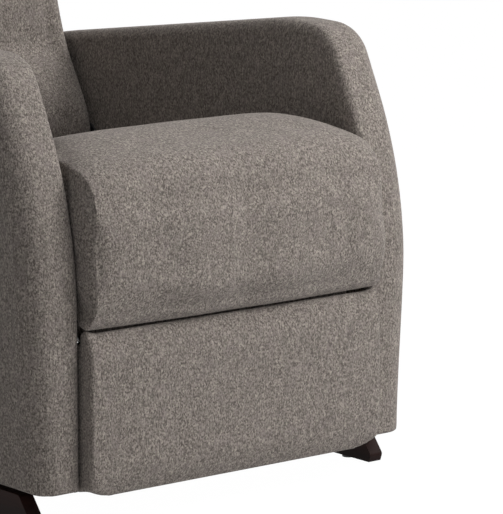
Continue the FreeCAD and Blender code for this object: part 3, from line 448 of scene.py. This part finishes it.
for side in ("left", "right"):
    cover = even_cloth(merged_copy("arm_pad_" + side, "arm_cover_" + side), voxel=0.005, softening=3)
    draw_in_foot(cover, "arm_pad_" + side)
    dress(cover, tweed_upright, "chair", "arm_pad_" + side)

# Seat cushion: a block of foam with a fibre wrap in a sewn tweed cover, thick and crowned, whose front rolls
# over the front rail and laps both arm fronts.
tweed_seat = upholstery("taupe_tweed_seat", (1.0, 0.7, 0.7))


def swell(piece, backed, sewn, inset, pressure, cap):
    # Shrink a cover a little where nothing backs it, hold it there and along its sewn lines, and blow it up,
    # with each point kept within the cap.
    start = points_of(piece) - normals_of(piece) * inset * (~backed)[:, None]
    set_points(piece, start)
    pins = piece.vertex_groups.new(name="held")
    pins.add([int(index) for index in np.flatnonzero(backed | sewn)], 1.0, "REPLACE")
    last_step = 20
    cloth = piece.modifiers.new("fill", "CLOTH")
    cloth.settings.vertex_group_mass = "held"
    cloth.settings.use_pressure = True
    cloth.settings.uniform_pressure_force = pressure
    cloth.settings.effector_weights.gravity = 0.0
    cloth.settings.quality = 4
    cloth.collision_settings.use_collision = False
    for step in range(1, last_step + 1):
        scene.frame_set(step)
    graph = bpy.context.evaluated_depsgraph_get()
    settled = piece.evaluated_get(graph).to_mesh()
    shift = rows_of(settled.vertices, "co") - start
    length = np.linalg.norm(shift, axis=1, keepdims=True)
    shift *= np.minimum(1.0, cap / np.maximum(length, 1e-9))
    piece.modifiers.clear()
    piece.vertex_groups.clear()
    scene.frame_set(1)
    set_points(piece, start + shift)


def square_ends(cover, node):
    # Fill the left and right ends of the front out to a squarer edge. As photographed, tuck the lower corner
    # in on one side and fill it on the handle's side. Let the hem behind the lip hang down as a flap.
    fill_run, fill, front_run = 0.035, 0.010, 0.06
    crown_depth, crown_fade = 0.03, 0.06
    tuck, handle_side_fill, tuck_height = 0.004, 0.012, 0.09
    corner_start, corner_run, link_height = 0.18, 0.08, 0.03
    sag, sag_height = 0.0055, 0.06
    lip_height, flap_stretch = 0.271, 3.6
    low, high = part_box(node)
    arm_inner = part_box("arm_pad_right")[0].x
    points = points_of(cover)
    reach = np.abs(points[:, 0])
    front = 1.0 - np.clip((points[:, 1] - low.y) / front_run, 0.0, 1.0)
    below_crown = eased((high.z - crown_depth - points[:, 2]) / crown_fade)
    points[:, 1] -= fill * eased((reach - high.x + fill_run) / fill_run) * front * below_crown
    low_down = eased(1.0 - (points[:, 2] - lip_height) / tuck_height)
    corner = low_down * eased((reach - corner_start) / corner_run)
    above_links = eased((points[:, 2] - lip_height) / link_height)
    points[:, 0] -= np.where(points[:, 0] > 0, tuck, handle_side_fill * above_links) * corner
    points[:, 0] = np.maximum(points[:, 0], -arm_inner)
    hang = lip_height - points[:, 2]
    points[:, 2] = np.where(hang > 0, lip_height - hang * flap_stretch, points[:, 2])
    points[:, 2] -= sag * eased(1.0 - (points[:, 2] - lip_height) / sag_height) * (front > 0)
    set_points(cover, points)


seat = even_cloth(merged_copy("seat_cushion", "seat_cover"), voxel=0.006, softening=3)
seat_low, seat_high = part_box("seat_cushion")
square_ends(seat, "seat_cushion")
deck_rise, deck_set_back, lip_rise, rear_seam = 0.062, 0.070, 0.026, 0.006
spots = points_of(seat)
on_deck = (spots[:, 2] < seat_low.z + deck_rise) & (spots[:, 1] > seat_low.y + deck_set_back)
at_lip = spots[:, 2] < seat_low.z + lip_rise
at_rear = spots[:, 1] > seat_high.y - rear_seam
swell(seat, on_deck | at_lip | at_rear, at_lip, inset=0.005, pressure=4.0, cap=0.007)
soften(seat, rounds=5)
dress(seat, tweed_seat, "chair", "seat_cushion")

# Footrest tongs: flat steel links on turned pins, black powder coated, with brackets screwed to the board.
for link in ("drive_link", "cross_link", "short_link", "footrest_bracket"):
    finish_nodes(powder_coat, *pair(link))
finish_nodes(black_oxide, "drive_link_pins", "cross_link_pins", "footrest_pins")

# Drive shaft and release handle: a blackened shaft through one arm, a flat black lever and a moulded nylon
# grip.
finish_nodes(black_oxide, "drive_shaft")
finish_nodes(powder_coat, "release_handle")
finish_nodes(nylon, "handle_grip")

# Footrest pad: a foam panel in the same tweed, stapled round its plywood board.


def full_foot(cover, node):
    # Let the cover hang a little over the lower edge, fill its lower corners out and square its upper ones.
    overhang, overhang_height = 0.008, 0.07
    corner_run, corner_fill = 0.052, 0.010
    top_run, top_fill = 0.018, 0.007
    low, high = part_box(node)
    points = points_of(cover)
    lower = eased(1.0 - (points[:, 2] - low.z) / overhang_height)
    share = np.clip((np.abs(points[:, 0]) - high.x + corner_run) / corner_run, 0.0, 1.0)
    points[:, 2] -= (overhang + corner_fill * (1.0 - np.sqrt(1.0 - share ** 2))) * lower
    at_end = eased((np.abs(points[:, 0]) - high.x + top_run) / top_run)
    at_top = eased((points[:, 2] - high.z + top_run) / top_run)
    points[:, 0] += np.sign(points[:, 0]) * top_fill * at_end * at_top
    points[:, 2] += top_fill * at_end * at_top
    points[:, 0] = np.clip(points[:, 0], low.x, high.x)
    set_points(cover, points)


footrest = even_cloth(merged_copy("footrest_pad", "footrest_cover"), voxel=0.004, softening=6)
full_foot(footrest, "footrest_pad")
dress(footrest, tweed_upright, "footrest", "footrest_pad")

# Back frame: beech stiles and rails, with steel ears that turn on the hinge pins.
finish_nodes(beech_upright, *pair("back_stile"))
finish_nodes(beech_across, "back_lower_rail", "back_middle_rail", "back_top_rail")
finish_nodes(powder_coat, *pair("back_bracket"))

# Back cushion: three sewn bands of fibre filling, one above the other, with the cover drawn in at each seam.


def wide_foot(cover):
    # Widen the lower end of the cushion until it almost brushes the side plates and hides their hinge eyes.
    widening, widening_top, widening_run = 0.008, 0.56, 0.12
    side_run, clearance = 0.08, 0.0008
    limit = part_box("side_plate_right")[0].x - clearance
    points = points_of(cover)
    reach = np.abs(points[:, 0])
    low_down = eased((widening_top - points[:, 2]) / widening_run)
    share = low_down * eased((reach - limit + side_run) / side_run)
    points[:, 0] = np.sign(points[:, 0]) * np.minimum(reach + widening * share, limit)
    set_points(cover, points)


back = even_cloth(merged_copy("back_cushion", "back_cover"), voxel=0.006, softening=3)
lean = math.radians(20)
lower_seam, upper_seam, seam_half_width = 0.149, 0.360, 0.007
pin_low, pin_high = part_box("back_hinge_pins")
spots = points_of(back)
along = (spots[:, 1] - (pin_low.y + pin_high.y) / 2) * math.sin(lean)
along += (spots[:, 2] - (pin_low.z + pin_high.z) / 2) * math.cos(lean)
facing_rear = normals_of(back) @ np.array((0.0, math.cos(lean), -math.sin(lean))) > 0.5
from_seam = np.minimum(np.abs(along - lower_seam), np.abs(along - upper_seam))
at_seam = from_seam < seam_half_width
swell(back, facing_rear, at_seam, inset=0.004, pressure=4.0, cap=0.007)
wide_foot(back)
dress(back, tweed_upright, "back", "back_cushion")

# Rear pad of the back and lower rear panel: thinly padded tweed over the frame, closed with a sewn hem.
rear_pad = even_cloth(merged_copy("back_rear_pad", "back_rear_cover"), voxel=0.005, softening=4)
dress(rear_pad, tweed_upright, "back", "back_rear_pad")
rear_panel = even_cloth(merged_copy("lower_rear_panel", "lower_rear_cover"), voxel=0.005, softening=6)
dress(rear_panel, tweed_upright, "chair", "lower_rear_panel")

# Studio: a pale floor, a white surround for the camera, a soft lamp at the front right and two weak fills.


def seen_directly(tree):
    # 1 for rays that show the background itself: from the camera, off a gloss or through glass.
    seen = add_node(tree, "ShaderNodeLightPath")
    direct = maths(tree, "MAXIMUM", seen.outputs["Is Camera Ray"], seen.outputs["Is Glossy Ray"])
    return maths(tree, "MAXIMUM", direct, seen.outputs["Is Transmission Ray"])


def white_stage():
    white_share, white_strength = 0.975, 1.02
    floor_mesh = bpy.data.meshes.new("studio_floor")
    work = bmesh.new()
    bmesh.ops.create_grid(work, x_segments=1, y_segments=1, size=12.0)
    work.to_mesh(floor_mesh)
    work.free()
    floor = bpy.data.objects.new("studio_floor", floor_mesh)
    scene.collection.objects.link(floor)
    finish, tree, shader = new_material("pale_floor")
    shader.inputs["Base Color"].default_value = (0.7, 0.7, 0.7, 1)
    shader.inputs["Roughness"].default_value = 0.9
    white = add_node(tree, "ShaderNodeEmission", Color=(1, 1, 1, 1), Strength=white_strength)
    blend = tree.nodes.new("ShaderNodeMixShader")
    tree.links.new(maths(tree, "MULTIPLY", seen_directly(tree), white_share), blend.inputs[0])
    tree.links.new(shader.outputs[0], blend.inputs[1])
    tree.links.new(white.outputs[0], blend.inputs[2])
    tree.links.new(blend.outputs[0], tree.nodes["Material Output"].inputs["Surface"])
    floor.data.materials.append(finish)


white_stage()


def white_surround(ambient):
    world = bpy.data.worlds.new("studio_surround")
    scene.world = world
    world.use_nodes = True
    tree = world.node_tree
    tree.nodes.clear()
    dim = add_node(tree, "ShaderNodeBackground", Color=(1, 1, 1, 1), Strength=ambient)
    white = add_node(tree, "ShaderNodeBackground", Color=(1, 1, 1, 1), Strength=1.0)
    blend = tree.nodes.new("ShaderNodeMixShader")
    tree.links.new(seen_directly(tree), blend.inputs[0])
    tree.links.new(dim.outputs[0], blend.inputs[1])
    tree.links.new(white.outputs[0], blend.inputs[2])
    out = tree.nodes.new("ShaderNodeOutputWorld")
    tree.links.new(blend.outputs[0], out.inputs["Surface"])


white_surround(ambient=0.28)


def soft_lamp(name, place, aim, across, watts):
    lamp = bpy.data.lights.new(name, "AREA")
    lamp.shape = "DISK"
    lamp.size = across
    lamp.energy = watts
    holder = bpy.data.objects.new(name, lamp)
    holder.location = place
    holder.rotation_euler = (Vector(aim) - Vector(place)).to_track_quat("-Z", "Y").to_euler()
    scene.collection.objects.link(holder)


soft_lamp("key_lamp", (1.9, -2.1, 2.3), (0.1, -0.4, 0.4), across=1.6, watts=70.0)
soft_lamp("front_lamp", (1.5, -3.2, 1.3), (0.1, -0.3, 0.4), across=1.8, watts=24.0)
soft_lamp("top_lamp", (0.2, -0.6, 2.6), (0.0, 0.1, 0.4), across=1.6, watts=16.0)

# Camera: a long lens, fitted to the photograph, off the left front corner and looking a little down.
CAMERA_PLACE = (-2.946, -4.161, 1.214)
CAMERA_TURN = math.radians(-38.85)
CAMERA_DIP = math.radians(10.48)
FOCAL_PIXELS = 3577.0
IMAGE_HEIGHT = 514.0
camera = bpy.data.objects.new("camera", bpy.data.cameras.new("camera"))
camera.location = CAMERA_PLACE
camera.rotation_euler = (math.radians(90) - CAMERA_DIP, 0.0, CAMERA_TURN)
camera.data.sensor_width = 36.0
camera.data.lens = camera.data.sensor_width * FOCAL_PIXELS / IMAGE_HEIGHT
scene.collection.objects.link(camera)
scene.camera = camera
scene.view_settings.view_transform = "Standard"
